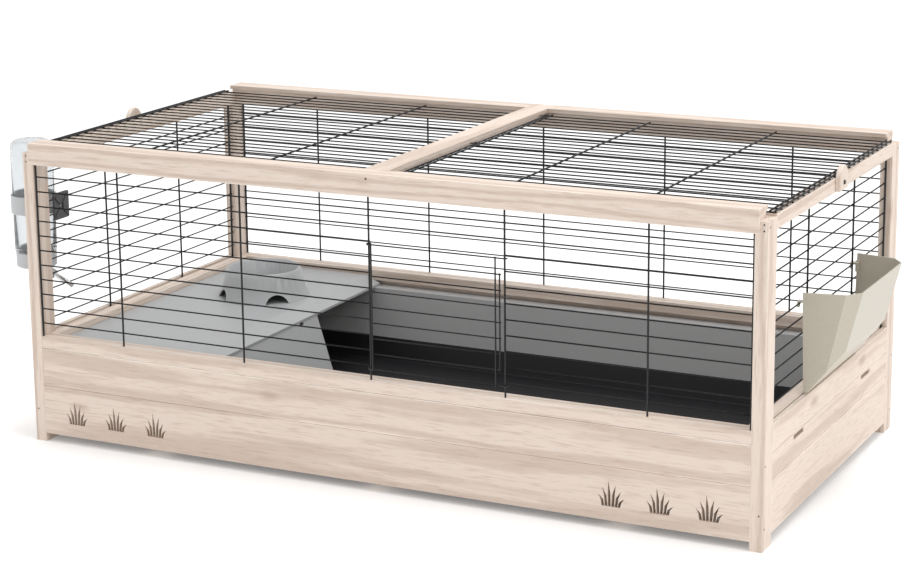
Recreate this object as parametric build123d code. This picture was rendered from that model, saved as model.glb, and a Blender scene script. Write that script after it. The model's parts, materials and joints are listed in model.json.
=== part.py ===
from build123d import *

import os
from math import cos, hypot, pi, radians, sin

# Pen for small animals: a low wooden frame with wire walls, two wire lids that swing up from a
# centre bar, a wire door in the front wall, a deep tray, a raised platform that hides a nest, and
# a bowl, a hay manger and a water bottle.
# X runs along the front from left to right, Y from the front to the back, Z up from the floor.

# Driving dimensions of the wooden frame
cage_length = 1250.0
cage_depth = 645.0
post_height = 480.0
post_width = 19.5
post_depth = 38.0
lap_stub = 12.5
roof_rail_underside = 462.0
roof_rail_height = 19.5
roof_rail_depth = 28.6
roof_rail_proud = 2.6
cap_height = 15.5
cap_lip = 7.4
cap_lip_height = 7.0
side_roof_rail_height = 21.5
centre_bar_width = 40.0
centre_bar_rebate = 6.0

# Driving dimensions of the base
base_rail_top = 178.0
base_rail_height = 19.5
base_rail_depth = 26.0
side_base_rail_width = 21.0
board_thickness = 12.0
side_panel_thickness = 8.0
front_board_foot = 13.4
front_board_seam = 95.5
side_board_foot = 16.2
side_board_seam = 97.0
side_panel_seam = 138.0
seam_bevel = 1.2
side_slot_length = 46.0
side_slot_height = 7.0
side_slot_inset = 132.0

# Cut-out tufts of grass in the lower front board
tuft_inset = 81.0
tuft_pitch = 75.5
tuft_count = 3
tuft_height = 40.0
tuft_foot = 35.0
blade_width = 4.6

# Wire work
thick_wire = 1.6
thin_wire = 1.1
lid_cross_wire = 1.2
lid_edge_wire = 1.5
weld = 0.3
wire_sides = 8
grid_inset = 4.0
side_grid_inset = 10.0
grid_row_low = 199.3
grid_row_pitch = 24.18
grid_row_count = 11
grid_bay = 224.0
side_grid_bay = 112.0
fit_gap = 0.3

# Lids
lid_row_count = 24
lid_row_pitch = 24.6
lid_edge_pair = 7.5
lid_outer_inset = 3.5
lid_hinge_gap = 4.5
lid_rib_near = 210.0
lid_rib_far = 430.0
hinge_eye_wall = 1.3
hinge_eye_width = 2.4
hinge_running = 0.1
hinge_screw_depth = 12.0
eye_shank_radius = 1.0

# Turn buttons on the side rails
button_width = 40.0
button_thickness = 7.0
button_pivot = 475.0
button_foot = 463.5
button_top = 501.0

# Front door
door_rows = 9
door_drop = 4.0
door_wire = 1.3
door_stile_inset = 6.0
door_end_inset = 13.0
door_handle_inset = 6.0
door_hook_reach = 3.2
door_hinge_height = 3.0

# Tray and liner
plastic_wall = 2.5
bearer_width = 40.0
bearer_spacing = 400.0
tray_floor_underside = 21.6
tray_wall_top = 60.0
tray_corner = 32.0
tray_draft = 8.0
tray_flange = 9.0
liner_top = 150.4
liner_inset = 33.0
liner_draft = 6.0
liner_rim_drop = 9.0
liner_board_gap = 2.0

# Platform over the nest
deck_height = 168.0
deck_length = 250.0
deck_rail_gap = 2.0
apron_run = 27.0
apron_drop = 13.0
nest_wall_lean = 38.0
nest_wall_end = 390.0
nest_wall_return = 16.0

# Bowl
bowl_x = 190.0
bowl_y = 417.0
bowl_base_radius = 79.0
bowl_rim_radius = 65.0
bowl_height = 50.0
bowl_well_height = 12.0
bowl_arch_width = 42.0
bowl_arch_height = 15.0
bowl_arch_angle = -42.0

# Hay manger on the right wall
manger_y = 316.0
manger_foot = 183.0
manger_belly = 245.0
manger_top = 337.0
manger_half_width = 136.0
manger_foot_taper = 12.0
manger_belly_reach = 56.0
manger_top_reach = 80.0
manger_shoulder = 18.0
manger_corner = 24.0
manger_wall = 2.0
manger_foot_depth = 6.0
manger_tongue_width = 46.0
manger_tongue_depth = 13.0
manger_hook_width = 9.0

# Water bottle on the left wall
bottle_x = -38.0
bottle_y = 75.0
bottle_radius = 34.5
bottle_foot = 300.0
bottle_top = 486.0
bottle_shoulder = 12.0
bottle_wall = 1.6
bottle_neck_radius = 27.0
cap_radius = 33.0
cap_foot = 275.0
strap_wall = 2.6
strap_height = 30.0
bracket_width = 40.0
bracket_height = 44.0
bracket_thickness = 3.5
spout_radius = 4.0
spout_bore = 2.9
spout_slope = 0.45
spout_wall_height = 256.5
spout_tip_reach = 21.0
ball_radius = 2.7

# Fasteners
screw_radius = 1.75
screw_head_radius = 3.4
screw_head_height = 2.0
nail_radius = 1.4
nail_length = 18.0
side_screw_length = 15.0
drill_gap = 0.05

# Places that follow from the sizes above
roof_rail_top = roof_rail_underside + roof_rail_height
cap_top = roof_rail_top + cap_height
side_roof_rail_top = roof_rail_underside + side_roof_rail_height
front_cap_screw = roof_rail_top + cap_height / 2
back_cap_screw = roof_rail_top + (cap_height - cap_lip_height) / 2
cap_inner = roof_rail_depth - roof_rail_proud + cap_lip
middle_x = cage_length / 2
middle_y = cage_depth / 2
groove_inner = board_thickness
front_grid_y = grid_inset
row_heights = [grid_row_low + grid_row_pitch * k for k in range(grid_row_count)]
row_offset = thick_wire + thin_wire - weld
lid_cross_z = side_roof_rail_top + fit_gap + lid_cross_wire
lid_edge_z = lid_cross_z + lid_cross_wire + lid_edge_wire - weld
lid_hinge_x = centre_bar_width / 2 + lid_hinge_gap
door_left = middle_x
door_right = middle_x + grid_bay

os.makedirs("parts", exist_ok=True)
parts = {}


def block(x0, x1, y0, y1, z0, z1):
    return Pos((x0 + x1) / 2, (y0 + y1) / 2, (z0 + z1) / 2) * Box(x1 - x0, y1 - y0, z1 - z0)


def face_of(points, plane):
    return plane * make_face(Polyline(*points, close=True))


def along_x(points, x0, x1):
    """Push a (Y, Z) outline from x0 to x1."""
    plane = Plane(origin=(x0, 0, 0), x_dir=(0, 1, 0), z_dir=(1, 0, 0))
    return extrude(face_of(points, plane), x1 - x0)


def along_y(points, y0, y1):
    """Push an (X, Z) outline from y0 to y1."""
    plane = Plane(origin=(0, y1, 0), x_dir=(1, 0, 0), z_dir=(0, -1, 0))
    return extrude(face_of(points, plane), y1 - y0)


def thicken(points, wall):
    """Give an open line a wall on its left side, with mitred corners."""
    steps = []
    for (ax, az), (bx, bz) in zip(points, points[1:]):
        length = hypot(bx - ax, bz - az)
        steps.append((-(bz - az) / length, (bx - ax) / length))
    inner = []
    for i, (px, pz) in enumerate(points):
        before = steps[max(i - 1, 0)]
        after = steps[min(i, len(steps) - 1)]
        share = wall / (1 + before[0] * after[0] + before[1] * after[1])
        inner.append((px + share * (before[0] + after[0]), pz + share * (before[1] + after[1])))
    return points + inner[::-1]


def rod(start, direction, length, radius):
    return extrude(Plane(origin=start, z_dir=direction) * RegularPolygon(radius, wire_sides), length)


def rod_x(x0, x1, y, z, radius):
    return rod((x0, y, z), (1, 0, 0), x1 - x0, radius)


def rod_y(y0, y1, x, z, radius):
    return rod((x, y0, z), (0, 1, 0), y1 - y0, radius)


def rod_z(z0, z1, x, y, radius):
    return rod((x, y, z0), (0, 0, 1), z1 - z0, radius)


def joined(pieces):
    return pieces[0].fuse(*pieces[1:])


def pin(start, direction, length, radius):
    return extrude(Plane(origin=start, z_dir=direction) * Circle(radius), length)


def mirrored_x(shape):
    """The same piece on the other end of the cage."""
    return mirror(shape, about=Plane(origin=(middle_x, 0, 0), z_dir=(1, 0, 0)))


def turned_round(shape):
    """The same piece after half a turn about the upright line through the middle of the cage."""
    return shape.rotate(Axis((middle_x, middle_y, 0), (0, 0, 1)), 180)


def add(name, shape):
    parts[name] = shape


# Fasteners


def frame_nails():
    """Headless pins in the front and back faces of the posts."""
    nails = []
    for x in (post_width * 0.32, cage_length - post_width * 0.32):
        for z in (post_height - 5.0, post_height - 14.0, 54.0):
            nails.append(rod((x, 0, z), (0, 1, 0), nail_length, nail_radius))
            nails.append(rod((x, cage_depth, z), (0, -1, 0), nail_length, nail_radius))
    return nails


def frame_screws():
    """Screws in the outer sides of the posts, and one in each cap at the centre bar."""
    screws = []
    for y in (post_depth * 0.2, cage_depth - post_depth * 0.2):
        for z in (post_height - 9.5, 126.0, 33.0):
            screws.append(rod((0, y, z), (1, 0, 0), side_screw_length, screw_radius))
            screws.append(rod((cage_length, y, z), (-1, 0, 0), side_screw_length, screw_radius))
    front_face = -roof_rail_proud
    back_face = cage_depth + roof_rail_proud
    screws.append(rod((middle_x, front_face, front_cap_screw), (0, 1, 0), nail_length, screw_radius))
    screws.append(rod((middle_x, back_face, back_cap_screw), (0, -1, 0), nail_length, screw_radius))
    return screws


def drill_holes(shape):
    """Clear every nail and screw that is driven into a piece of wood."""
    for z in (post_height - 9.5, 126.0, 33.0):
        for y in (post_depth * 0.2, cage_depth - post_depth * 0.2):
            radius = screw_radius + drill_gap
            shape -= rod((0, y, z), (1, 0, 0), side_screw_length, radius)
            shape -= rod((cage_length, y, z), (-1, 0, 0), side_screw_length, radius)
    for x in (post_width * 0.32, cage_length - post_width * 0.32):
        for z in (post_height - 5.0, post_height - 14.0, 54.0):
            radius = nail_radius + drill_gap
            shape -= rod((x, 0, z), (0, 1, 0), nail_length, radius)
            shape -= rod((x, cage_depth, z), (0, -1, 0), nail_length, radius)
    return shape


# Wooden frame


def front_left_post():
    post = block(0, post_width, 0, post_depth, 0, post_height)
    lap = block(lap_stub, post_width, 0, roof_rail_depth - roof_rail_proud, roof_rail_underside, post_height)
    return post - lap


def front_roof_rail():
    back = roof_rail_depth - roof_rail_proud
    return block(lap_stub, cage_length - lap_stub, -roof_rail_proud, back, roof_rail_underside, roof_rail_top)


def front_cap(screw_z):
    """Top board with a lip that overhangs the pen, so the lids close under its line."""
    back = roof_rail_depth - roof_rail_proud
    lip = cap_top - cap_lip_height
    outline = [
        (-roof_rail_proud, roof_rail_top),
        (back, roof_rail_top),
        (back, lip),
        (cap_inner, lip),
        (cap_inner, cap_top),
        (-roof_rail_proud, cap_top),
    ]
    cap = along_x(outline, lap_stub, cage_length - lap_stub)
    hole = rod((middle_x, -roof_rail_proud, screw_z), (0, 1, 0), nail_length, screw_radius + drill_gap)
    return cap - hole


def centre_bar():
    """The bar that carries both lids: a top board lapped over the back cap, with a narrower web."""
    half = centre_bar_width / 2
    web = half - centre_bar_rebate
    lip = cap_top - cap_lip_height
    back = cage_depth + roof_rail_proud
    top = block(middle_x - half, middle_x + half, cap_inner, back, lip, cap_top)
    inner = roof_rail_depth - roof_rail_proud
    body = block(middle_x - web, middle_x + web, inner, cage_depth - inner, roof_rail_top, lip)
    bar = top + body
    for y in hinge_eye_places():
        for side in (-1, 1):
            start = (middle_x + side * web, y, lid_edge_z)
            bar -= rod(start, (-side, 0, 0), hinge_screw_depth, eye_shank_radius + drill_gap)
    return bar


def back_cap():
    half = centre_bar_width / 2
    lip = cap_top - cap_lip_height
    housing = block(middle_x - half, middle_x + half, middle_y, cage_depth + post_depth, lip, cap_top)
    return turned_round(front_cap(back_cap_screw)) - housing


def side_roof_rail():
    rail = block(0, post_width, post_depth, cage_depth - post_depth, roof_rail_underside, side_roof_rail_top)
    hole = pin((0, middle_y, button_pivot), (1, 0, 0), side_screw_length, screw_radius + drill_gap)
    return rail - hole


# Base


def front_base_rail():
    foot = base_rail_top - base_rail_height
    return block(post_width, cage_length - post_width, 0, base_rail_depth, foot, base_rail_top)


def bevelled_board(thickness, foot, top):
    """The (depth, height) outline of a board whose outer edges are bevelled at the seams."""
    return [
        (seam_bevel, foot),
        (thickness, foot),
        (thickness, top),
        (seam_bevel, top),
        (0, top - seam_bevel),
        (0, foot + seam_bevel),
    ]


def front_board(foot, top):
    return along_x(bevelled_board(board_thickness, foot, top), post_width, cage_length - post_width)


def side_board(thickness, foot, top):
    return along_y(bevelled_board(thickness, foot, top), post_depth, cage_depth - post_depth)


def blade(foot_x, lean, height, width, bow):
    """One leaf of grass, bent once on its way up to a point."""
    tip = (foot_x + lean, height)
    left = (foot_x - width / 2, 0)
    right = (foot_x + width / 2, 0)
    middle_x = foot_x + lean * 0.36 + bow
    middle_z = height * 0.55
    half = width * 0.46
    edges = Polyline(left, (middle_x - half, middle_z), tip, (middle_x + half, middle_z), right, close=True)
    return make_face(edges)


def tuft_blades():
    """A spray of leaves that leans outward from the middle, the tallest in the centre."""
    spread = ((-11.5, -8.0, 0.46), (-6.6, -6.5, 0.74), (-1.6, -2.0, 1.0), (3.6, 5.0, 0.86),
              (8.6, 8.0, 0.62), (13.0, 9.0, 0.36))
    return [blade(x, lean, tuft_height * share, blade_width, lean * -0.12) for x, lean, share in spread]


def lower_front_board():
    board = front_board(front_board_foot, front_board_seam)
    places = [tuft_inset + tuft_pitch * k for k in range(tuft_count)]
    places += [cage_length - x for x in places]
    leaves = tuft_blades()
    for x in places:
        plane = Plane(origin=(x, board_thickness * 2, tuft_foot), x_dir=(1, 0, 0), z_dir=(0, -1, 0))
        board -= [extrude(plane * leaf, board_thickness * 3) for leaf in leaves]
    return board


def slotted_side_board():
    """Middle board of the right end, with two hand slots under its top seam."""
    board = side_board(board_thickness, side_board_seam, side_panel_seam)
    top = side_panel_seam - seam_bevel - 1.0
    for y in (side_slot_inset, cage_depth - side_slot_inset - side_slot_length):
        board -= block(-1, board_thickness + 1, y, y + side_slot_length, top - side_slot_height, top)
    return board


def side_base_rail():
    inner = groove_inner + side_base_rail_width
    foot = base_rail_top - base_rail_height
    rail = block(groove_inner, inner, base_rail_depth, cage_depth - base_rail_depth, foot, base_rail_top)
    rail -= block(0, post_width, 0, post_depth, 0, post_height)
    return rail - block(0, post_width, cage_depth - post_depth, cage_depth, 0, post_height)


def tray_bearers():
    """Slats from front to back under the tray."""
    foot = front_board_foot
    slats = []
    for k in (-1, 0, 1):
        x = middle_x + bearer_spacing * k
        slats.append(block(x - bearer_width / 2, x + bearer_width / 2, board_thickness,
                           cage_depth - board_thickness, foot, tray_floor_underside))
    return slats


# Wire walls


def column_places():
    end = post_width + thick_wire + fit_gap
    inner = [middle_x + grid_bay * k for k in (-2, -1, 0, 1, 2)]
    return [end] + inner + [cage_length - end]


def long_grid(with_doorway):
    columns = column_places()
    pieces = [rod_z(base_rail_top, roof_rail_underside, x, front_grid_y, thick_wire) for x in columns]
    y = front_grid_y + row_offset
    for k, z in enumerate(row_heights):
        if with_doorway and k < door_rows:
            pieces.append(rod_x(columns[0] - thin_wire, door_left + thin_wire, y, z, thin_wire))
            pieces.append(rod_x(door_right - thin_wire, columns[-1] + thin_wire, y, z, thin_wire))
        else:
            pieces.append(rod_x(columns[0] - thin_wire, columns[-1] + thin_wire, y, z, thin_wire))
    return joined(pieces)


def side_grid():
    """A wall that stands in the groove between the base rail and the outer panel."""
    end = post_depth + thick_wire + fit_gap
    columns = [end, middle_y - side_grid_bay, middle_y + side_grid_bay, cage_depth - end]
    x = side_grid_inset
    pieces = [rod_z(side_panel_seam, roof_rail_underside, x, y, thick_wire) for y in columns]
    for z in row_heights:
        pieces.append(rod_y(columns[0] - thin_wire, columns[-1] + thin_wire, x + row_offset, z, thin_wire))
    return joined(pieces)


# Lids and their hinges


def lid_row_places():
    """Rows centred between the caps, so one lid serves at either end."""
    first = middle_y - lid_row_pitch * (lid_row_count - 1) / 2
    return [first + lid_row_pitch * k for k in range(lid_row_count)]


def hinge_eye_places():
    rows = lid_row_places()
    return [(rows[k] + rows[k + 1]) / 2 for k in (0, lid_row_count // 2 - 1, lid_row_count - 2)]


def left_lid():
    rows = lid_row_places()
    hinge = middle_x - lid_hinge_x
    edge = lid_outer_inset
    ribs = [edge, edge + lid_edge_pair, middle_x - lid_rib_far, middle_x - lid_rib_near,
            hinge - lid_edge_pair, hinge]
    y0 = rows[0] - 2 * lid_cross_wire
    y1 = rows[-1] + 2 * lid_cross_wire
    pieces = [rod_y(y0, y1, x, lid_edge_z, lid_edge_wire) for x in ribs]
    start = edge - lid_edge_wire
    pieces += [rod_x(start, hinge + lid_edge_wire, y, lid_cross_z, lid_cross_wire) for y in rows]
    return joined(pieces)


def hinge_eyes():
    """Screw eyes in the sides of the centre bar, each round the inner edge wire of a lid."""
    inner = (lid_edge_wire + hinge_running) / cos(pi / wire_sides)
    outer = inner + hinge_eye_wall
    web = centre_bar_width / 2 - centre_bar_rebate
    eyes = []
    for y in hinge_eye_places():
        for side in (-1, 1):
            x = middle_x + side * lid_hinge_x
            ring = rod((x, y - hinge_eye_width / 2, lid_edge_z), (0, 1, 0), hinge_eye_width, outer)
            reach = lid_hinge_x - web - inner - hinge_eye_wall / 2 + hinge_screw_depth
            start = (x - side * (inner + hinge_eye_wall / 2), y, lid_edge_z)
            shank = rod(start, (-side, 0, 0), reach, eye_shank_radius)
            bore = rod((x, y - hinge_eye_width, lid_edge_z), (0, 1, 0), 2 * hinge_eye_width, inner)
            eyes.append(ring + shank - bore)
    return eyes


def turn_button():
    """A round-topped block on the left rail that turns on one screw."""
    half = button_width / 2
    plane = Plane(origin=(-fit_gap, middle_y, 0), x_dir=(0, -1, 0), z_dir=(-1, 0, 0))
    spring_line = button_top - half
    outline = make_face([
        Line((-half, button_foot), (half, button_foot)),
        Line((half, button_foot), (half, spring_line)),
        ThreePointArc((half, spring_line), (0, button_top), (-half, spring_line)),
        Line((-half, spring_line), (-half, button_foot)),
    ])
    body = extrude(plane * outline, button_thickness)
    return body - pin((10, middle_y, button_pivot), (-1, 0, 0), 30, screw_radius + hinge_running)


def turn_button_screw():
    face = -fit_gap - button_thickness - fit_gap
    shank = rod((side_screw_length, middle_y, button_pivot), (-1, 0, 0), side_screw_length - face, screw_radius)
    head = rod((face, middle_y, button_pivot), (-1, 0, 0), screw_head_height, screw_head_radius)
    return shank + head


# Door


def door_row_heights():
    return [z - door_drop for z in row_heights[:door_rows]]


def door_row_y():
    return front_grid_y - thick_wire - fit_gap - thin_wire - 0.1


def front_door():
    """A wire panel with two eyes round the left column and two hooks over the right one."""
    rows = door_row_heights()
    y = door_row_y()
    front = y - door_wire - thin_wire + weld
    stile_left = door_left + door_stile_inset
    stile_right = door_right - door_end_inset
    handle = door_right - door_handle_inset
    pieces = [rod_z(rows[0] - 2 * thin_wire, rows[-1] + 2 * thin_wire, x, front, door_wire)
              for x in (stile_left, stile_right)]
    pieces.append(rod_z(rows[1] + thin_wire, rows[-2] + 2 * thin_wire, handle, front, door_wire))
    for k, z in enumerate(rows):
        outer = k in (0, door_rows - 1)
        start = door_left if outer else stile_left - door_wire
        end = door_right + door_hook_reach if outer else handle + door_wire
        pieces.append(rod_x(start, end, y, z, thin_wire))
        if outer:
            hook_x = door_right + door_hook_reach
            pieces.append(rod_y(y - thin_wire, front_grid_y + thick_wire, hook_x, z, thin_wire))
    panel = joined(pieces)
    bore = (thick_wire + hinge_running) / cos(pi / wire_sides)
    for z in (rows[0], rows[-1]):
        low = z - door_hinge_height / 2
        eye = rod((door_left, front_grid_y, low), (0, 0, 1), door_hinge_height, bore + 2 * thin_wire)
        panel += eye
        panel -= rod((door_left, front_grid_y, low - 5), (0, 0, 1), door_hinge_height + 10, bore)
    return panel


# Tray


def frustum(x_inset, y_inset, foot, top, spread, corner):
    """A rounded box that is wider at the top than at the foot by spread on each side."""
    length = cage_length - 2 * x_inset
    depth = cage_depth - 2 * y_inset
    low = Pos(middle_x, middle_y, foot) * RectangleRounded(length - 2 * spread, depth - 2 * spread, corner)
    high = Pos(middle_x, middle_y, top) * RectangleRounded(length, depth, corner + spread)
    return loft([low, high])


def black_tray():
    """A shallow tray with a flange round its top edge."""
    inset = board_thickness + liner_inset + liner_draft
    flange_top = tray_wall_top + plastic_wall
    outer = frustum(inset - plastic_wall, inset - plastic_wall, tray_floor_underside, flange_top,
                    tray_draft, tray_corner)
    flange = frustum(inset - tray_flange, inset - tray_flange, tray_wall_top, flange_top, 0, tray_corner + tray_draft)
    inner = frustum(inset, inset, tray_floor_underside + plastic_wall, flange_top + 1, tray_draft, tray_corner)
    return outer + flange - inner


def grey_liner():
    """The skirt that lifts the tray's walls: a lip at its foot, drafted walls and a turned-down rim."""
    top_inset = board_thickness + liner_inset
    foot = tray_wall_top + plastic_wall
    foot_inset = top_inset + liner_draft
    outer = frustum(top_inset - plastic_wall, top_inset - plastic_wall, foot, liner_top, liner_draft, tray_corner)
    lip = frustum(foot_inset - tray_flange, foot_inset - tray_flange, foot, foot + plastic_wall, 0, tray_corner)
    rim_inset = board_thickness + liner_board_gap
    rim = frustum(rim_inset, rim_inset, liner_top - plastic_wall, liner_top, 0, tray_corner / 4)
    skirt = frustum(rim_inset, rim_inset, liner_top - liner_rim_drop, liner_top, 0, tray_corner / 4)
    skirt_inset = rim_inset + plastic_wall
    skirt -= frustum(skirt_inset, skirt_inset, liner_top - liner_rim_drop - 1, liner_top + 1, 0, tray_corner / 5)
    inner = frustum(top_inset, top_inset, foot - 1, liner_top + 1, liner_draft, tray_corner)
    liner = outer + lip + rim + skirt - inner
    across = post_width + liner_board_gap
    along = post_depth + liner_board_gap
    for x0, x1 in ((0, across), (cage_length - across, cage_length)):
        for y0, y1 in ((0, along), (cage_depth - along, cage_depth)):
            liner -= block(x0, x1, y0, y1, 0, liner_top + 1)
    return liner


# Platform


def platform():
    """A deck on a low skirt, a sloping apron along its open side and a leaning wall below it."""
    left = groove_inner + side_base_rail_width + deck_rail_gap
    front = base_rail_depth + deck_rail_gap
    back = cage_depth - front
    deck_end = left + deck_length
    apron_end = deck_end + apron_run
    apron_foot = deck_height - apron_drop
    foot = liner_top + fit_gap
    floor = tray_floor_underside + plastic_wall + fit_gap
    wall = plastic_wall
    cover = along_y(thicken([(left, foot), (left, deck_height), (deck_end, deck_height),
                             (apron_end, apron_foot), (apron_end, foot)], -wall), front, back)
    cheek = [(left, foot), (left, deck_height), (deck_end, deck_height),
             (apron_end, apron_foot), (apron_end, foot)]
    cover += along_y(cheek, front, front + wall)
    cover += along_y(cheek, back - wall, back)
    wall_front = board_thickness + liner_inset + liner_draft + tray_draft + wall
    lean = [(apron_end - wall, apron_foot), (apron_end + nest_wall_lean, floor)]
    cover += along_y(thicken(lean, -wall), wall_front, nest_wall_end)
    flange = [(apron_end - wall, apron_foot), (apron_end + nest_wall_lean, floor),
              (apron_end + nest_wall_lean - nest_wall_return, floor),
              (apron_end - wall - nest_wall_return, apron_foot)]
    cover += along_y(flange, nest_wall_end - wall, nest_wall_end)
    clip = block(apron_end - 8, apron_end + 12, nest_wall_end - 60, nest_wall_end - 48, apron_foot - 10, apron_foot - 4)
    return cover - clip - block(apron_end, apron_end + 60, front, back, floor - 10, floor)


# Bowl


def bowl():
    """A bowl with a flared double wall that stands on four feet between arches."""
    wall = plastic_wall
    foot = deck_height + fit_gap
    base = bowl_base_radius
    rim = bowl_rim_radius
    waist = (base + rim) / 2
    outline = [
        (base, 0),
        (waist, bowl_height * 0.3),
        (rim, bowl_height - 2),
        (rim - 2.5, bowl_height),
        (rim - 5, bowl_height - 2),
        (rim - 14, bowl_well_height + 2),
        (rim - 20, bowl_well_height),
        (0, bowl_well_height),
        (0, bowl_well_height - wall),
        (rim - 15, bowl_well_height - wall),
        (rim - 3, bowl_height - 5),
        (waist - wall, bowl_height * 0.28),
        (base - wall, 0),
    ]
    section = make_face(Plane.XZ * Polyline(*outline, close=True))
    body = revolve(section, Axis.Z)
    half = bowl_arch_width / 2
    arch = make_face([
        Line((-half, -1), (half, -1)),
        ThreePointArc((half, -1), (0, bowl_arch_height), (-half, -1)),
    ])
    for k in range(4):
        turn = radians(bowl_arch_angle + 90 * k)
        out = (cos(turn), sin(turn), 0)
        plane = Plane(origin=(0, 0, 0), x_dir=(-out[1], out[0], 0), z_dir=out)
        start = bowl_rim_radius - 8
        body -= extrude(plane.offset(start) * arch, base - start + 5)
    return Pos(bowl_x, bowl_y, foot) * body


# Hay manger


def manger_back():
    return cage_length - side_grid_inset + thick_wire + 1.4


def manger_body(inset):
    """The solid form of the manger, or with an inset its inside, which runs out at the top and back."""
    back = manger_back()
    start = back - inset * 3
    rise = inset * 1.4
    top = manger_top + inset
    outline = [(start, manger_foot + rise), (back + manger_foot_depth, manger_foot + rise),
               (back + manger_belly_reach - inset, manger_belly + inset * 0.4),
               (back + manger_top_reach - inset, manger_top), (back + manger_top_reach - inset, top),
               (start, top)]
    if not inset:
        outline.pop(4)
    half = manger_half_width - inset
    body = along_y(outline, manger_y - half, manger_y + half)
    shoulder_x = back + manger_top_reach - manger_shoulder
    drawn_in = manger_shoulder * 0.6
    lean = (manger_top_reach - manger_belly_reach) / (manger_top - manger_belly)
    for side in (-1, 1):
        mouth = Vector(back, manger_y + side * half, manger_top)
        foot = Vector(back, manger_y + side * (half - manger_foot_taper), manger_foot)
        shoulder = Vector(shoulder_x, manger_y + side * (half - drawn_in), manger_top)
        corner = Vector(back + manger_top_reach, manger_y + side * (half - drawn_in - manger_corner), manger_top)
        below = corner - Vector(lean * 100, 0, 100)
        body -= beyond(mouth, foot, shoulder, side)
        body -= beyond(shoulder, corner, below, side)
    return body


def beyond(a, b, c, side):
    """Everything on the outer side of the plane through three points."""
    normal = (b - a).cross(c - a).normalized()
    if normal.Y * side < 0:
        normal = -normal
    return extrude(Plane(origin=a, z_dir=normal) * Rectangle(900, 900), 200)


def hay_manger():
    """A trough that is open at the top and towards the wires, on two hooks and two tongues."""
    wall = manger_wall
    trough = manger_body(0) - manger_body(wall)
    row_z = row_heights[5]
    row_x = cage_length - side_grid_inset - row_offset
    arm_low = row_z + thin_wire + fit_gap
    tip_inner = row_x - thin_wire - fit_gap
    for side in (-1, 1):
        edge = manger_y + side * (manger_half_width - 2.0)
        y0 = edge - manger_hook_width if side > 0 else edge
        y1 = y0 + manger_hook_width
        arm = block(tip_inner - wall, manger_back() + 4, y0, y1, arm_low, arm_low + wall)
        tip = block(tip_inner - wall, tip_inner, y0, y1, arm_low - 8, arm_low + wall)
        root = block(manger_back(), manger_back() + 4, y0, y1, arm_low - 12, arm_low + wall)
        trough += [arm, tip, root]
    groove = cage_length - (side_panel_thickness + groove_inner) / 2
    for side in (-1, 1):
        y0 = manger_y + side * 62.0 - manger_tongue_width / 2
        y1 = y0 + manger_tongue_width
        foot = manger_foot - manger_tongue_depth
        trough += block(groove - wall / 2, groove + wall / 2, y0, y1, foot, manger_foot + wall)
        trough += block(groove - wall / 2, manger_back() + 3, y0, y1, manger_foot, manger_foot + wall)
    return trough


# Water bottle


def turned(outline, z):
    section = make_face(Plane.XZ * Polyline(*outline, close=True))
    return Pos(bottle_x, bottle_y, z) * revolve(section, Axis.Z)


def bottle_shell():
    """A clear bottle that hangs neck down, with a rounded closed end."""
    height = bottle_top - bottle_foot
    r = bottle_radius
    t = bottle_wall
    s = bottle_shoulder
    neck = bottle_neck_radius
    slope = s * 0.35
    outer = [(0, -16), (neck, -16), (neck, 0), (r - 3, 0), (r, 4), (r, height - s),
             (r - slope, height - slope), (r - s, height), (0, height)]
    inner = [(0, -17), (neck - t, -17), (neck - t, t), (r - t, 5), (r - t, height - s),
             (r - s - t * 0.4, height - t), (0, height - t)]
    outer, inner = [make_face(Plane.XZ * Polyline(*line, close=True)) for line in (outer, inner)]
    shell = revolve(outer, Axis.Z) - revolve(inner, Axis.Z)
    return Pos(bottle_x, bottle_y, bottle_foot) * shell


def spout_axis():
    """Start, direction and length of the straight steel spout."""
    tip_x = side_grid_inset + spout_tip_reach
    tip_z = spout_wall_height - spout_slope * spout_tip_reach
    length = hypot(1, spout_slope)
    out = (1 / length, 0, -spout_slope / length)
    start_x = bottle_x + bottle_neck_radius * 0.2
    start_z = spout_wall_height + spout_slope * (side_grid_inset - start_x)
    reach = hypot(tip_x - start_x, tip_z - start_z)
    return (start_x, bottle_y, start_z), out, reach


def bottle_cap():
    """Screw cap with an angled boss that grips the spout."""
    height = bottle_foot - cap_foot
    neck = bottle_neck_radius + fit_gap
    outline = [(0, 0), (cap_radius - 2, 0), (cap_radius, 2), (cap_radius, height - fit_gap),
               (neck, height - fit_gap), (neck, 6), (0, 6)]
    cap = turned(outline, cap_foot)
    start, out, reach = spout_axis()
    shift = 10.0
    boss_start = tuple(a + b * shift for a, b in zip(start, out))
    boss = pin(boss_start, out, 22.0, spout_radius + 3.5)
    ceiling = Pos(bottle_x, bottle_y, cap_foot + 3) * extrude(Circle(cap_radius * 2), 60)
    boss -= ceiling
    cap += boss
    return cap - pin(start, out, reach, spout_radius + drill_gap)


def bottle_spout():
    start, out, reach = spout_axis()
    floor = Pos(bottle_x, bottle_y, cap_foot + 5.7) * extrude(Circle(cap_radius * 2), 60)
    tube = pin(start, out, reach, spout_radius) - floor
    return tube - pin(start, out, reach + 1, spout_bore)


def spout_ball():
    start, out, reach = spout_axis()
    centre = tuple(a + b * (reach - ball_radius * 0.55) for a, b in zip(start, out))
    turns = [radians(22.5 + 45 * k) for k in range(4)]
    outline = [(ball_radius * sin(t), ball_radius * cos(t)) for t in turns]
    outline = [(0, outline[0][1])] + outline + [(0, outline[-1][1])]
    return Pos(*centre) * revolve(make_face(Plane.XZ * Polyline(*outline, close=True)), Axis.Z)


def grip_height():
    return (row_heights[7] + row_heights[8]) / 2


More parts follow.
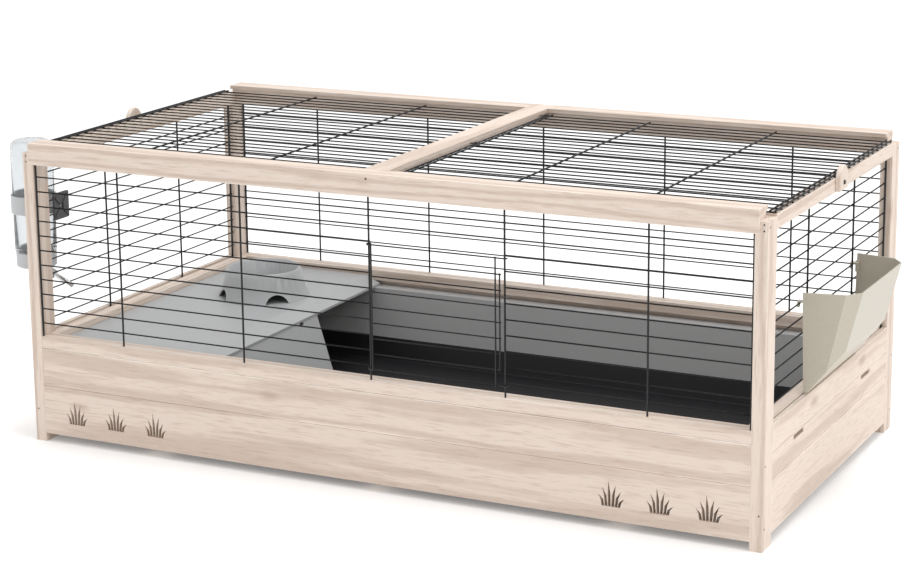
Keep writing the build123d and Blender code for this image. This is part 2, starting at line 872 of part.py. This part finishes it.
def bottle_strap():
    """A band round the bottle with a stud that passes between two wires of the wall."""
    z = grip_height()
    inner = bottle_radius + fit_gap
    band = Pos(bottle_x, bottle_y, z) * (Cylinder(inner + strap_wall, strap_height) - Cylinder(inner, strap_height))
    start = bottle_x + inner + strap_wall / 2
    end = side_grid_inset + row_offset + thin_wire + fit_gap
    stud = block(start, end, bottle_y - 7, bottle_y + 7, z - 7, z + 7)
    return band + stud


def bottle_bracket():
    """Clamp plate inside the wall, with a raised cross and a hole at its centre."""
    z = grip_height()
    x0 = side_grid_inset + row_offset + thin_wire + fit_gap
    x1 = x0 + bracket_thickness
    half = bracket_width / 2
    plate = block(x0, x1, bottle_y - half, bottle_y + half, z - bracket_height / 2, z + bracket_height / 2)
    plate = fillet(plate.edges().filter_by(Axis.X), 3.0)
    for turn in (45, -45):
        rib = Box(bracket_thickness, bracket_width * 1.15, 4.0)
        plate += Pos(x1, bottle_y, z) * Rot(turn, 0, 0) * rib
    return plate - pin((x0 - 1, bottle_y, z), (1, 0, 0), 12, 5.0)


# Assembly: every wooden, wire and plastic piece under its own name

left_post = drill_holes(front_left_post())
add("post_front_left", left_post)
add("post_front_right", mirrored_x(left_post))
add("post_rear_left", turned_round(mirrored_x(left_post)))
add("post_rear_right", turned_round(left_post))
add("roof_rail_front", drill_holes(front_roof_rail()))
add("roof_rail_rear", turned_round(drill_holes(front_roof_rail())))
add("roof_cap_front", front_cap(front_cap_screw))
add("roof_cap_rear", back_cap())
add("roof_rail_left", side_roof_rail())
add("roof_rail_right", turned_round(side_roof_rail()))
add("roof_centre_bar", centre_bar())

add("base_rail_front", front_base_rail())
add("base_rail_rear", turned_round(front_base_rail()))
add("base_rail_left", side_base_rail())
add("base_rail_right", turned_round(side_base_rail()))
upper_board_top = base_rail_top - base_rail_height
add("board_front_upper", front_board(front_board_seam, upper_board_top))
add("board_front_lower", lower_front_board())
add("board_rear_upper", turned_round(front_board(front_board_seam, upper_board_top)))
add("board_rear_lower", turned_round(front_board(front_board_foot, front_board_seam)))
add("board_left_lower", side_board(board_thickness, side_board_foot, side_board_seam))
add("board_left_middle", side_board(board_thickness, side_board_seam, side_panel_seam))
add("board_left_upper", side_board(side_panel_thickness, side_panel_seam, base_rail_top + 2))
add("board_right_lower", turned_round(side_board(board_thickness, side_board_foot, side_board_seam)))
add("board_right_middle", turned_round(slotted_side_board()))
add("board_right_upper", turned_round(side_board(side_panel_thickness, side_panel_seam, base_rail_top + 2)))
add("tray_bearers", Compound(tray_bearers()))

add("grid_front", long_grid(True))
add("grid_rear", turned_round(long_grid(False)))
add("grid_left", side_grid())
add("grid_right", turned_round(side_grid()))

add("frame_nails", Compound(frame_nails()))
add("frame_screws", Compound(frame_screws()))
add("lid_hinge_eyes", Compound(hinge_eyes()))
add("lid_left", left_lid())
add("lid_right", turned_round(left_lid()))
add("turn_button_left", turn_button())
add("turn_button_right", turned_round(turn_button()))
add("turn_button_screws", Compound([turn_button_screw(), turned_round(turn_button_screw())]))
add("front_door", front_door())

add("tray_base", black_tray())
add("tray_liner", grey_liner())
add("platform", platform())
add("food_bowl", bowl())
add("hay_manger", hay_manger())
add("bottle_shell", bottle_shell())
add("bottle_cap", bottle_cap())
add("bottle_spout", bottle_spout())
add("spout_ball", spout_ball())
add("bottle_strap", bottle_strap())
add("bottle_bracket", bottle_bracket())

# The origin is the middle of the footprint of the whole object, at floor level

corners = [shape.bounding_box() for shape in parts.values()]
shift_x = -(min(c.min.X for c in corners) + max(c.max.X for c in corners)) / 2
shift_y = -(min(c.min.Y for c in corners) + max(c.max.Y for c in corners)) / 2
shift_z = -min(c.min.Z for c in corners)
print("origin shift", round(shift_x, 3), round(shift_y, 3), round(shift_z, 3))

for name, shape in parts.items():
    export_step(Pos(shift_x, shift_y, shift_z) * shape, f"parts/{name}.step")
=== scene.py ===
# Small animal pen: whitewashed pine, black wire walls and lids, tray, platform, bowl, manger and bottle.
# The frame gives every place; the pieces here round and ease the CAD nodes and carry the finishes.

import json
from math import cos, pi, radians, sin

import bmesh
import bpy
from mathutils import Matrix, Vector


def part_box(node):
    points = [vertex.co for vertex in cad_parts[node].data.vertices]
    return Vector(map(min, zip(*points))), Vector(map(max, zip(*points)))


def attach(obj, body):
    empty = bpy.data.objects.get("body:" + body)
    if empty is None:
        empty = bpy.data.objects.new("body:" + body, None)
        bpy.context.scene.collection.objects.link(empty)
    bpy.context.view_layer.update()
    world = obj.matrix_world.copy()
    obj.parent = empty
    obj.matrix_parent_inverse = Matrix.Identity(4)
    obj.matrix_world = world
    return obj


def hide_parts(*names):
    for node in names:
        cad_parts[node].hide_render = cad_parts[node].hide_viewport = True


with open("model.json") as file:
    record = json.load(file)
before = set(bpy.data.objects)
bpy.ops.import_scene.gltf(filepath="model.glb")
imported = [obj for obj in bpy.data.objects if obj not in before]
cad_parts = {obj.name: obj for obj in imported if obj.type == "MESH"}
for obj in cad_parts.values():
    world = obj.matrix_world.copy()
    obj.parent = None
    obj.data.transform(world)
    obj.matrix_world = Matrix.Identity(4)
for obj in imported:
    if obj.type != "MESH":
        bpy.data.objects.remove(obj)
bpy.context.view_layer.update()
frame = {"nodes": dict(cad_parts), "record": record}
nodes = frame["nodes"]
bodies = frame["record"]["behaviour"]["bodies"]
body_of_node = {node: body for body, members in bodies.items() for node in members}

# The camera, fitted to the photograph
PHOTO_WIDTH = 907
FOCAL_PIXELS = 2342.97
SHIFT_PIXELS = 60
SENSOR_MM = 36
CAMERA_PLACE = Vector((1.63169, -3.31072, 1.18774))
CAMERA_AZIMUTH = radians(26.456)
CAMERA_PITCH = radians(12.958)
CAMERA_ROLL = radians(-0.595)

# Colours in linear light
PINE = (0.74, 0.63, 0.545)
# Lighter pine for the broken edges of the wood: a painted highlight
PINE_EDGE_HIGHLIGHT = (0.86, 0.77, 0.69)
PINE_GRAIN = (0.44, 0.32, 0.245)
PINE_KNOT = (0.36, 0.24, 0.17)
WIRE_BLACK = (0.005, 0.005, 0.006)
ZINC = (0.10, 0.095, 0.09)
TRAY_BLACK = (0.010, 0.010, 0.012)
LINER_GREY = (0.46, 0.46, 0.46)
LIGHT_GREY = (0.41, 0.42, 0.425)
MANGER_BEIGE = (0.47, 0.43, 0.35)
# Paler beige for the broken edges of the manger: a painted highlight
MANGER_EDGE_HIGHLIGHT = (0.78, 0.75, 0.68)
PALE_GREY = (0.50, 0.51, 0.52)
DARK_GREY = (0.06, 0.062, 0.066)
CLEAR = (0.88, 0.90, 0.91)
STEEL = (0.62, 0.62, 0.62)
FLOOR_WHITE = (0.95, 0.95, 0.95)
FLOOR_GLOW = 0.16

# Grain of the pine
GRAIN_STRETCH = 0.07
RING_SCALE = 20.0
RING_STRENGTH = 0.42
STREAK_SCALE = 420.0
STREAK_STRENGTH = 0.6
KNOTS_ALONG = 5.0
KNOTS_ACROSS = 12.0
KNOT_STRENGTH = 0.5

# The clear plastic
CLEAR_THROUGH = 0.92
CLEAR_IOR = 1.18

# Widths of the broken edges, in metres
EASE_WOOD = 0.0011
EASE_BUTTON = 0.0012
EASE_WIRE = 0.00035
EASE_TRAY = 0.0012
EASE_LINER = 0.0010
EASE_PLATFORM = 0.0020
EASE_BOWL = 0.0012
EASE_MANGER = 0.0009
EASE_CAP = 0.0008
EASE_CLAMP = 0.0006
EASE_SPOUT = 0.0003

# The bottle, in metres
BOTTLE_NECK = 0.027
BOTTLE_NECK_LENGTH = 0.016
BOTTLE_SHOULDER = 0.012
BOTTLE_FOOT_CORNER = 0.004
BOTTLE_WALL = 0.0016

# The studio: places in metres, powers in watts
FLOOR_REACH = 40.0
ROOM_LIGHT = 0.82
LIT_POINT = (0, 0, 0.2)
KEY_PLACE = (3.6, -1.2, 3.0)
KEY_SIZE = 2.0
KEY_POWER = 34
TOP_PLACE = (0.6, 0.4, 4.2)
TOP_SIZE = 3.0
TOP_POWER = 80


# Materials


def new_material(name, base, roughness, metallic=0.0):
    material = bpy.data.materials.new(name)
    material.use_nodes = True
    shader = material.node_tree.nodes["Principled BSDF"]
    shader.inputs["Base Color"].default_value = (*base, 1)
    shader.inputs["Roughness"].default_value = roughness
    shader.inputs["Metallic"].default_value = metallic
    return material, material.node_tree, shader


def place_texture(tree, scale):
    """Object coordinates, stretched by scale, for the textures that follow."""
    coordinates = tree.nodes.new("ShaderNodeTexCoord")
    mapping = tree.nodes.new("ShaderNodeMapping")
    mapping.inputs["Scale"].default_value = scale
    tree.links.new(coordinates.outputs["Object"], mapping.inputs["Vector"])
    return mapping.outputs["Vector"]


def noise(tree, vector, scale, detail, distortion=0.0):
    texture = tree.nodes.new("ShaderNodeTexNoise")
    texture.inputs["Scale"].default_value = scale
    texture.inputs["Detail"].default_value = detail
    texture.inputs["Distortion"].default_value = distortion
    tree.links.new(vector, texture.inputs["Vector"])
    return texture.outputs["Fac"]


def ramp(tree, value, low, high):
    """Spreads the part of value between low and high over 0 to 1."""
    spread = tree.nodes.new("ShaderNodeMapRange")
    spread.inputs["From Min"].default_value = low
    spread.inputs["From Max"].default_value = high
    tree.links.new(value, spread.inputs["Value"])
    return spread.outputs["Result"]


def tinted(tree, factor, first, second, strength):
    """Goes from first to second as factor rises, as far as strength."""
    weight = tree.nodes.new("ShaderNodeMath")
    weight.operation = "MULTIPLY"
    weight.inputs[1].default_value = strength
    tree.links.new(factor, weight.inputs[0])
    mix = tree.nodes.new("ShaderNodeMix")
    mix.data_type = "RGBA"
    tree.links.new(weight.outputs[0], mix.inputs[0])
    for socket, colour in ((mix.inputs[6], first), (mix.inputs[7], second)):
        if isinstance(colour, tuple):
            socket.default_value = (*colour, 1)
        else:
            tree.links.new(colour, socket)
    return mix.outputs[2]


def bumped(tree, shader, height, strength, distance):
    bump = tree.nodes.new("ShaderNodeBump")
    bump.inputs["Strength"].default_value = strength
    bump.inputs["Distance"].default_value = distance
    tree.links.new(height, bump.inputs["Height"])
    tree.links.new(bump.outputs["Normal"], shader.inputs["Normal"])


def pine_material(name, along, base):
    """Whitewashed pine whose grain runs along one axis (0 to 2): rings, fine streaks and a few knots."""
    material, tree, shader = new_material(name, base, 0.62)
    stretch = [1.0, 1.0, 1.0]
    stretch[along] = GRAIN_STRETCH
    vector = place_texture(tree, stretch)
    rings = tree.nodes.new("ShaderNodeTexWave")
    rings.wave_type = "RINGS"
    rings.rings_direction = "XYZ"[along]
    rings.inputs["Scale"].default_value = RING_SCALE
    rings.inputs["Distortion"].default_value = 7.0
    rings.inputs["Detail"].default_value = 3.0
    rings.inputs["Detail Scale"].default_value = 1.4
    tree.links.new(vector, rings.inputs["Vector"])
    streaks = noise(tree, vector, STREAK_SCALE, 4.0, 0.4)
    colour = tinted(tree, ramp(tree, rings.outputs["Fac"], 0.45, 1.0), base, PINE_GRAIN, RING_STRENGTH)
    colour = tinted(tree, ramp(tree, streaks, 0.5, 0.8), colour, PINE_GRAIN, STREAK_STRENGTH)
    knot_vector = place_texture(tree, [KNOTS_ALONG if axis == along else KNOTS_ACROSS for axis in range(3)])
    knots = tree.nodes.new("ShaderNodeTexVoronoi")
    knots.inputs["Scale"].default_value = 1.0
    tree.links.new(knot_vector, knots.inputs["Vector"])
    spots = ramp(tree, knots.outputs["Distance"], 0.13, 0.03)
    colour = tinted(tree, spots, colour, PINE_KNOT, KNOT_STRENGTH)
    tree.links.new(colour, shader.inputs["Base Color"])
    bumped(tree, shader, streaks, 0.25, 0.0004)
    return material


def plastic_material(name, base, roughness, grain, strength):
    """Moulded plastic with a fine spark-eroded surface."""
    material, tree, shader = new_material(name, base, roughness)
    vector = place_texture(tree, (1, 1, 1))
    texture = noise(tree, vector, grain, 3.0)
    darker = tuple(c * 0.93 for c in base)
    lighter = tuple(min(1.0, c * 1.07) for c in base)
    colour = tinted(tree, texture, darker, lighter, 1.0)
    tree.links.new(colour, shader.inputs["Base Color"])
    bumped(tree, shader, texture, strength, 0.0003)
    return material


def metal_material(name, base, roughness, metallic, grain):
    """Metal or enamel whose gloss varies a little."""
    material, tree, shader = new_material(name, base, roughness, metallic)
    vector = place_texture(tree, (1, 1, 1))
    texture = noise(tree, vector, grain, 2.0)
    spread = tree.nodes.new("ShaderNodeMapRange")
    spread.inputs["To Min"].default_value = roughness * 0.8
    spread.inputs["To Max"].default_value = roughness * 1.2
    tree.links.new(texture, spread.inputs["Value"])
    tree.links.new(spread.outputs["Result"], shader.inputs["Roughness"])
    return material


def clear_material():
    material, tree, shader = new_material("clear_plastic", CLEAR, 0.06)
    shader.inputs["Transmission Weight"].default_value = CLEAR_THROUGH
    shader.inputs["IOR"].default_value = CLEAR_IOR
    texture = noise(tree, place_texture(tree, (1, 1, 1)), 60.0, 2.0)
    bumped(tree, shader, texture, 0.05, 0.0004)
    return material


pine = [pine_material("pine_along_" + "xyz"[axis], axis, PINE) for axis in range(3)]
# The edge pine is lighter than the face pine: a painted highlight on the broken edges
pine_edge_highlight = [pine_material("pine_edge_highlight_" + "xyz"[axis], axis, PINE_EDGE_HIGHLIGHT) for axis in range(3)]
wire_black = metal_material("wire_black", WIRE_BLACK, 0.5, 0.0, 300.0)
zinc = metal_material("zinc", ZINC, 0.45, 0.8, 500.0)
tray_black = plastic_material("tray_black", TRAY_BLACK, 0.5, 900.0, 0.6)
liner_grey = plastic_material("liner_grey", LINER_GREY, 0.42, 500.0, 0.15)
light_grey = plastic_material("light_grey", LIGHT_GREY, 0.4, 500.0, 0.12)
manger_beige = plastic_material("manger_beige", MANGER_BEIGE, 0.35, 300.0, 0.12)
# The manger's edge plastic is much paler than its face: a painted highlight
manger_edge_highlight = plastic_material("manger_edge_highlight", MANGER_EDGE_HIGHLIGHT, 0.3, 300.0, 0.1)
pale_grey = plastic_material("pale_grey", PALE_GREY, 0.4, 500.0, 0.1)
dark_grey = plastic_material("dark_grey", DARK_GREY, 0.45, 500.0, 0.15)
clear = clear_material()
steel = metal_material("steel", STEEL, 0.22, 1.0, 400.0)


# Pieces made from the frame


def paint(thing, *materials):
    thing.data.materials.clear()
    for material in materials:
        thing.data.materials.append(material)


def eased(node, face, edge, width, segments, smooth_under, edge_angle=28.0):
    """The node's form with its sharp edges broken; the new strips take the edge material."""
    mesh = bpy.data.meshes.new(node + "_eased")
    work = bmesh.new()
    work.from_mesh(nodes[node].data)
    bmesh.ops.remove_doubles(work, verts=work.verts, dist=2e-6)
    flat = radians(0.6)
    bmesh.ops.dissolve_limit(work, angle_limit=flat, verts=work.verts, edges=work.edges)
    for side in work.faces:
        side.smooth = True
        side.material_index = 0
    for line in work.edges:
        line.smooth = len(line.link_faces) == 2 and line.calc_face_angle(pi) < radians(smooth_under)
    work.to_mesh(mesh)
    work.free()
    piece = bpy.data.objects.new(node + "_eased", mesh)
    bpy.context.scene.collection.objects.link(piece)
    paint(piece, face, edge)
    # A lighter edge material paints a highlight on the strips; a darker one paints shade
    if width:
        bevel = piece.modifiers.new("ease", "BEVEL")
        bevel.width = width
        bevel.segments = segments
        bevel.limit_method = "ANGLE"
        bevel.angle_limit = radians(edge_angle)
        bevel.material = 1
        bevel.use_clamp_overlap = True
        bevel.harden_normals = True
    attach(piece, body_of_node[node])
    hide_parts(node)
    return piece


def lathe(name, profile, place, axis, steps=64):
    """Turns (radius, height) points about an axis through place."""
    mesh = bpy.data.meshes.new(name)
    work = bmesh.new()
    turn = Vector((0, 0, 1)).rotation_difference(axis).to_matrix().to_4x4()
    seat = Matrix.Translation(place) @ turn
    rings = []
    for radius, height in profile:
        ring = []
        for k in range(steps):
            angle = 2 * pi * k / steps
            ring.append(work.verts.new(seat @ Vector((radius * cos(angle), radius * sin(angle), height))))
        rings.append(ring)
    for first, second in zip(rings, rings[1:]):
        for k in range(steps):
            after = (k + 1) % steps
            work.faces.new((first[k], first[after], second[after], second[k]))
    work.faces.new(list(reversed(rings[0])))
    work.faces.new(rings[-1])
    bmesh.ops.recalc_face_normals(work, faces=work.faces)
    for side in work.faces:
        side.smooth = len(side.verts) == 4
    work.to_mesh(mesh)
    work.free()
    piece = bpy.data.objects.new(name, mesh)
    bpy.context.scene.collection.objects.link(piece)
    return piece


def corner(centre, radius, start, end, count=6):
    """Points of an arc in a profile, angles in degrees."""
    turns = [radians(start + (end - start) * k / count) for k in range(count + 1)]
    return [(centre[0] + radius * cos(t), centre[1] + radius * sin(t)) for t in turns]


# Wood: the grain follows each stick's longest side


def longest_axis(node):
    low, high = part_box(node)
    sides = list(high - low)
    return sides.index(max(sides))


# The broken edges of the wood take the lighter edge pine, a painted highlight
for node in nodes:
    if node.startswith(("post_", "roof_", "base_rail_", "board_", "tray_bearers")):
        axis = 0 if node == "tray_bearers" else longest_axis(node)
        eased(node, pine[axis], pine_edge_highlight[axis], EASE_WOOD, 2, 24)
for node in ("turn_button_left", "turn_button_right"):
    eased(node, pine[2], pine_edge_highlight[2], EASE_BUTTON, 2, 30, 40)

# Wires: the eight sides of each become round
for node in nodes:
    if node.startswith(("grid_", "lid_left", "lid_right", "front_door")):
        eased(node, wire_black, wire_black, EASE_WIRE, 1, 60)
for node in ("lid_hinge_eyes", "frame_nails", "frame_screws", "turn_button_screws"):
    eased(node, zinc, zinc, EASE_WIRE, 1, 60)

# Plastic
eased("tray_base", tray_black, tray_black, EASE_TRAY, 3, 35)
# The liner takes a darker grey on its broken edges: painted shade
eased("tray_liner", liner_grey, light_grey, EASE_LINER, 2, 35)
# The platform and the bowl take the paler grey on their broken edges: a painted highlight
eased("platform", light_grey, pale_grey, EASE_PLATFORM, 3, 24, 20)
eased("food_bowl", light_grey, pale_grey, EASE_BOWL, 3, 50, 55)
# The manger's broken edges take the paler beige: a painted highlight
eased("hay_manger", manger_beige, manger_edge_highlight, EASE_MANGER, 2, 12, 14)
eased("bottle_cap", pale_grey, pale_grey, EASE_CAP, 2, 40)
eased("bottle_strap", pale_grey, pale_grey, EASE_CLAMP, 2, 40)
eased("bottle_bracket", dark_grey, dark_grey, EASE_CLAMP, 2, 40)
eased("bottle_spout", steel, steel, EASE_SPOUT, 2, 40)
eased("spout_ball", steel, steel, 0, 1, 80)


# The clear bottle, blown with round shoulders


def clear_bottle():
    low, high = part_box("bottle_shell")
    centre = (low + high) / 2
    radius = (high.x - low.x) / 2
    height = high.z - low.z
    neck = BOTTLE_NECK
    wall = BOTTLE_WALL
    foot = BOTTLE_NECK_LENGTH
    rounding = BOTTLE_FOOT_CORNER
    shoulder = (radius - BOTTLE_SHOULDER, height - BOTTLE_SHOULDER)
    outer = [(neck, 0), (neck, foot)]
    outer += corner((radius - rounding, foot + rounding), rounding, -90, 0, 4)
    outer += corner(shoulder, BOTTLE_SHOULDER, 0, 80)
    outer.append((radius * 0.35, height))
    inner = [(radius * 0.33, height - wall)]
    inner += corner(shoulder, BOTTLE_SHOULDER - wall, 80, 0)
    inner += [(radius - wall, foot + 0.006), (neck - wall, foot + wall), (neck - wall, 0)]
    place = Vector((centre.x, centre.y, low.z))
    wall_piece = lathe("bottle_outer", outer, place, Vector((0, 0, 1)))
    hollow = lathe("bottle_inner", inner, place, Vector((0, 0, 1)))
    hollow.data.flip_normals()
    work = bmesh.new()
    work.from_mesh(wall_piece.data)
    work.from_mesh(hollow.data)
    work.to_mesh(wall_piece.data)
    work.free()
    bpy.data.objects.remove(hollow)
    wall_piece.name = "clear_bottle"
    paint(wall_piece, clear)
    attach(wall_piece, body_of_node["bottle_shell"])
    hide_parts("bottle_shell")


clear_bottle()

# The hidden CAD nodes carry their finish too
slot_material = {
    "pine": pine[0], "wire": wire_black, "fastener": zinc, "black_plastic": tray_black,
    "grey_plastic": liner_grey, "light_plastic": light_grey, "manger_plastic": manger_beige,
    "clear_plastic": clear, "pale_plastic": pale_grey, "dark_plastic": dark_grey, "steel": steel,
}
for part in frame["record"]["subparts"]:
    if part["node"] in nodes:
        paint(nodes[part["node"]], slot_material[part["material_slot"]])


# Floor, light and camera


def white_floor():
    reach = FLOOR_REACH
    mesh = bpy.data.meshes.new("floor")
    corners = [(-reach, -reach, 0), (reach, -reach, 0), (reach, reach, 0), (-reach, reach, 0)]
    mesh.from_pydata(corners, [], [(0, 1, 2, 3)])
    floor = bpy.data.objects.new("floor", mesh)
    bpy.context.scene.collection.objects.link(floor)
    material, _, shader = new_material("floor_white", FLOOR_WHITE, 0.9)
    shader.inputs["Emission Color"].default_value = (1, 1, 1, 1)
    shader.inputs["Emission Strength"].default_value = FLOOR_GLOW
    paint(floor, material)


def soft_light(name, place, size, power):
    data = bpy.data.lights.new(name, "AREA")
    data.shape = "DISK"
    data.size = size
    data.energy = power
    lamp = bpy.data.objects.new(name, data)
    lamp.location = place
    lamp.rotation_euler = (Vector(LIT_POINT) - Vector(place)).to_track_quat("-Z", "Y").to_euler()
    bpy.context.scene.collection.objects.link(lamp)


def studio():
    """An even white room: brighter where the camera looks straight at it."""
    world = bpy.data.worlds.new("studio")
    bpy.context.scene.world = world
    world.use_nodes = True
    tree = world.node_tree
    background = tree.nodes["Background"]
    background.inputs["Color"].default_value = (1, 1, 1, 1)
    path = tree.nodes.new("ShaderNodeLightPath")
    strength = tree.nodes.new("ShaderNodeMapRange")
    strength.inputs["To Min"].default_value = ROOM_LIGHT
    strength.inputs["To Max"].default_value = 1.0
    tree.links.new(path.outputs["Is Camera Ray"], strength.inputs["Value"])
    tree.links.new(strength.outputs["Result"], background.inputs["Strength"])
    soft_light("key", KEY_PLACE, KEY_SIZE, KEY_POWER)
    soft_light("top", TOP_PLACE, TOP_SIZE, TOP_POWER)


def photo_camera():
    a, p, r = CAMERA_AZIMUTH, CAMERA_PITCH, CAMERA_ROLL
    forward = Vector((-sin(a) * cos(p), cos(a) * cos(p), -sin(p)))
    level = Vector((cos(a), sin(a), 0))
    upright = level.cross(forward)
    right = level * cos(r) + upright * sin(r)
    up = upright * cos(r) - level * sin(r)
    data = bpy.data.cameras.new("photo")
    data.sensor_width = SENSOR_MM
    data.sensor_fit = "HORIZONTAL"
    data.lens = SENSOR_MM * FOCAL_PIXELS / PHOTO_WIDTH
    data.shift_y = -SHIFT_PIXELS / PHOTO_WIDTH
    data.clip_end = 200
    camera = bpy.data.objects.new("photo", data)
    turn = Matrix((right, up, -forward)).transposed().to_4x4()
    camera.matrix_world = Matrix.Translation(CAMERA_PLACE) @ turn
    bpy.context.scene.collection.objects.link(camera)
    bpy.context.scene.camera = camera


white_floor()
studio()
photo_camera()
bpy.context.scene.view_settings.view_transform = "Standard"
